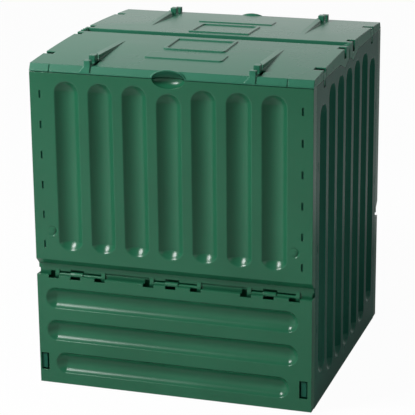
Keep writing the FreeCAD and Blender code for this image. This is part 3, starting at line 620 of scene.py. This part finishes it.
def walls_with_grooves():
    made = merged_copy("front_wall")
    cut_band_seams(made)
    rounded_recess(made)
    outward = Vector((0, -1, 0))
    places = groove_places()
    reach = GROOVE_WIDTH / 2 + RIB_MARGIN
    low = wall_bottom + GROOVE_BOTTOM_MARGIN
    footprints = []
    for x in places:
        margin = MIDDLE_TOP_MARGIN if abs(x) < NEAR else GROOVE_TOP_MARGIN
        top = wall_top - margin
        footprints.append(lambda co, x=x, top=top: abs(co.x - x) < reach
                          and low - RIB_MARGIN < co.z < top + RIB_MARGIN)
    without_grooves(made, footprints, outward, half)
    middle = len(places) // 2
    rows = ((places[:middle], GROOVE_TOP_MARGIN), (places[middle:middle + 1], MIDDLE_TOP_MARGIN),
            (places[middle + 1:], GROOVE_TOP_MARGIN))
    for row, margin in rows:
        for skin in groove_skins(GROOVE_WIDTH, GROOVE_DEPTH, low - LONGER_BELOW,
                                 wall_top - margin + LONGER_ABOVE, GROOVE_SLOPES, row,
                                 green_plastic):
            skin.transform(Matrix.Translation((0, -half, 0)))
            made.from_mesh(skin)
    for x in (-BOSS_X, BOSS_X):
        sunk_boss(made, x, BOSS_Z)
    refaced(made, outward, half)
    return made


front = walls_with_grooves()
smooth_object("front_wall_moulding", front, green_plastic, "bin", "front_wall")
smooth_object("rear_wall_moulding", turned_half(front), green_plastic, "bin",
              "rear_wall")


# Front flap and rear flap
# Emptying flaps of the same green plastic, hung by three snap hooks from the
# walls' pins, with three long grooves that lie across.

FLAP_GROOVE_WIDTH = 0.054
FLAP_GROOVE_TOP_MARGIN = 0.032
FLAP_GROOVE_BOTTOM_MARGIN = 0.029
FLAP_GROOVE_END_MARGIN = 0.030
LOW_GROOVE_END_MARGIN = 0.051
FLAP_GROOVE_SLOPES = (0.25, 0.03)
LONGER_LEFT = 0.011
LONGER_RIGHT = -0.004
FLAP_HEIGHT = 0.285

flap_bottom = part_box("front_flap")[0].z


def flaps_with_grooves():
    made = merged_copy("front_flap")
    outward = Vector((0, -1, 0))
    lowest = flap_bottom + FLAP_GROOVE_BOTTOM_MARGIN + FLAP_GROOVE_WIDTH / 2
    highest = flap_bottom + FLAP_HEIGHT - FLAP_GROOVE_TOP_MARGIN - FLAP_GROOVE_WIDTH / 2
    heights = [lowest, (lowest + highest) / 2, highest]
    reach = FLAP_GROOVE_WIDTH / 2 + RIB_MARGIN
    ends = (LOW_GROOVE_END_MARGIN, FLAP_GROOVE_END_MARGIN, FLAP_GROOVE_END_MARGIN)
    footprints = []
    for z, margin in zip(heights, ends):
        end = half - margin + RIB_MARGIN
        footprints.append(lambda co, z=z, end=end: abs(co.z - z) < reach and abs(co.x) < end)
    without_grooves(made, footprints, outward, half)
    lay_down = Matrix.Rotation(math.pi / 2, 4, "Y")
    for row, margin in ((heights[:1], LOW_GROOVE_END_MARGIN),
                        (heights[1:], FLAP_GROOVE_END_MARGIN)):
        across = [-z for z in reversed(row)]
        for skin in groove_skins(FLAP_GROOVE_WIDTH, GROOVE_DEPTH, margin - half - LONGER_LEFT,
                                 half - margin + LONGER_RIGHT, FLAP_GROOVE_SLOPES, across,
                                 green_plastic):
            skin.transform(Matrix.Translation((0, -half, 0)) @ lay_down)
            made.from_mesh(skin)
    refaced(made, outward, half)
    return made


flap = flaps_with_grooves()
smooth_object("front_flap_moulding", flap, green_plastic, "front_flap",
              "front_flap")
smooth_object("rear_flap_moulding", turned_half(flap), green_plastic, "rear_flap",
              "rear_flap")


# Side walls
# The same plastic, its green painted darker as the shade on these sides: seven
# grooves, a plain margin at each end and folded flanges whose hooks plug into the front and rear
# wall.

SIDE_GROOVE_TOP_MARGIN = 0.023
SIDE_GROOVE_BOTTOM = 0.035
END_GROOVE_TOP_MARGIN = 0.054
END_GROOVE_BOTTOM = 0.062
POST_HALF_WIDTH = 0.015
POST_DROP = 0.022
POST_WELD = 0.0035
# Painted shade: the front wall's green made darker to stand in for the shade on the sides.
SIDE_GREEN_PAINTED_SHADE = (0.011, 0.095, 0.060)
DARK_GREEN_ROUGHNESS = 0.26
DARK_GREEN_GLOSS = 0.1

post_foot = wall_top - POST_DROP
side_plastic_painted_shade = plastic("dark green plastic", SIDE_GREEN_PAINTED_SHADE, DARK_GREEN_ROUGHNESS,
                             DARK_GREEN_GLOSS, EDGE_ROUNDING)


def side_wall_with_grooves():
    made = merged_copy("side_wall_right")
    outward = Vector((1, 0, 0))
    places = groove_places()
    reach = GROOVE_WIDTH / 2 + RIB_MARGIN
    footprints = []
    for y in places:
        outermost = abs(y) > abs(places[1]) + NEAR
        top = wall_top - (END_GROOVE_TOP_MARGIN if outermost else SIDE_GROOVE_TOP_MARGIN)
        low = END_GROOVE_BOTTOM if outermost else SIDE_GROOVE_BOTTOM
        footprints.append(lambda co, y=y, top=top, low=low: abs(co.y - y) < reach
                          and low - RIB_MARGIN < co.z < top + RIB_MARGIN)
    without_grooves(made, footprints, outward, half)
    # The rim that is left round the hinge post is drawn down to its foot and closed there.
    for corner in made.verts:
        co = corner.co
        if corner.is_boundary and abs(abs(co.y) - POST_HALF_WIDTH) < NEAR and (
                abs(co.z - post_foot) < POST_WELD and half - co.x < 2 * WALL):
            corner.co = (half - WALL, co.y, post_foot)
    bmesh.ops.remove_doubles(made, verts=made.verts, dist=NEAR)
    foot = [corner for corner in made.verts if corner.is_boundary
            and abs(corner.co.z - post_foot) < NEAR
            and abs(abs(corner.co.y) - POST_HALF_WIDTH) < NEAR]
    bmesh.ops.contextual_create(made, geom=foot)
    stand = Matrix.Translation((half, 0, 0)) @ Matrix.Rotation(math.pi / 2, 4, "Z")
    for row, low, margin in (
            (places[:1], END_GROOVE_BOTTOM, END_GROOVE_TOP_MARGIN),
            (places[1:-1], SIDE_GROOVE_BOTTOM, SIDE_GROOVE_TOP_MARGIN),
            (places[-1:], END_GROOVE_BOTTOM, END_GROOVE_TOP_MARGIN)):
        for skin in groove_skins(GROOVE_WIDTH, GROOVE_DEPTH, low, wall_top - margin,
                                 GROOVE_SLOPES, row, side_plastic_painted_shade):
            skin.transform(stand)
            made.from_mesh(skin)
    refaced(made, outward, half)
    return made


side = side_wall_with_grooves()
smooth_object("right_wall_moulding", side, side_plastic_painted_shade, "bin",
              "side_wall_right")
smooth_object("left_wall_moulding", turned_half(side), side_plastic_painted_shade, "bin",
              "side_wall_left")


# Lid halves
# Two mouldings of the mid green plastic with crowned tops, that hinge on stub
# pins beside the middle channel and cover the walls' upper edge. Their green is
# painted lighter than the walls' green, as the light and reflection on the tops.

STRIP_FOOT_RISE = 0.0015
STRIP_TOP_RISE = 0.0195
STRIP_TOP_INSET = 0.008
SLIT_LOW_RISE = 0.0035
SLIT_HIGH_RISE = 0.0188
SLIT_WIDTH = 0.0024
SLIT_DEPTH = 0.0014
SLIT_PLACES = (-0.300, 0.287)
LID_EDGE_ROUNDING = 0.0035
# Painted light: the walls' green made lighter to stand in for the light and reflection on the lid
# tops.
LID_GREEN_PAINTED_LIGHT = (0.028, 0.163, 0.096)
GRAINED_ROUGHNESS = 0.28
GRAINED_GLOSS = 0.2


def cut_slits(made):
    """Carries the strip's two slits on as shallow cuts, up to the edge of the crown."""
    foot = Vector((0, -half, wall_top + STRIP_FOOT_RISE))
    top = Vector((0, STRIP_TOP_INSET - half, wall_top + STRIP_TOP_RISE))
    along = (top - foot).normalized()
    outward = Vector((0, -along.z, along.y))
    low = foot + along * (SLIT_LOW_RISE / along.z)
    high = foot + along * ((SLIT_HIGH_RISE - STRIP_FOOT_RISE) / along.z)
    section = [low - outward * SLIT_DEPTH, high - outward * SLIT_DEPTH,
               high + outward * SLIT_DEPTH, low + outward * SLIT_DEPTH]
    spans = [(x - SLIT_WIDTH / 2, x + SLIT_WIDTH / 2) for x in SLIT_PLACES]
    cut_away(made, thin_blocks(spans, section))


front_lid = merged_copy("front_lid")
rounded_recess(front_lid)
cut_slits(front_lid)
lid_plastic_painted_light = plastic("lid green plastic, painted light", LID_GREEN_PAINTED_LIGHT, GRAINED_ROUGHNESS,
                          GRAINED_GLOSS, LID_EDGE_ROUNDING)
smooth_object("front_lid_moulding", front_lid, lid_plastic_painted_light, "front_lid",
              "front_lid")
smooth_object("rear_lid_moulding", turned_half(front_lid), lid_plastic_painted_light, "rear_lid",
              "rear_lid")
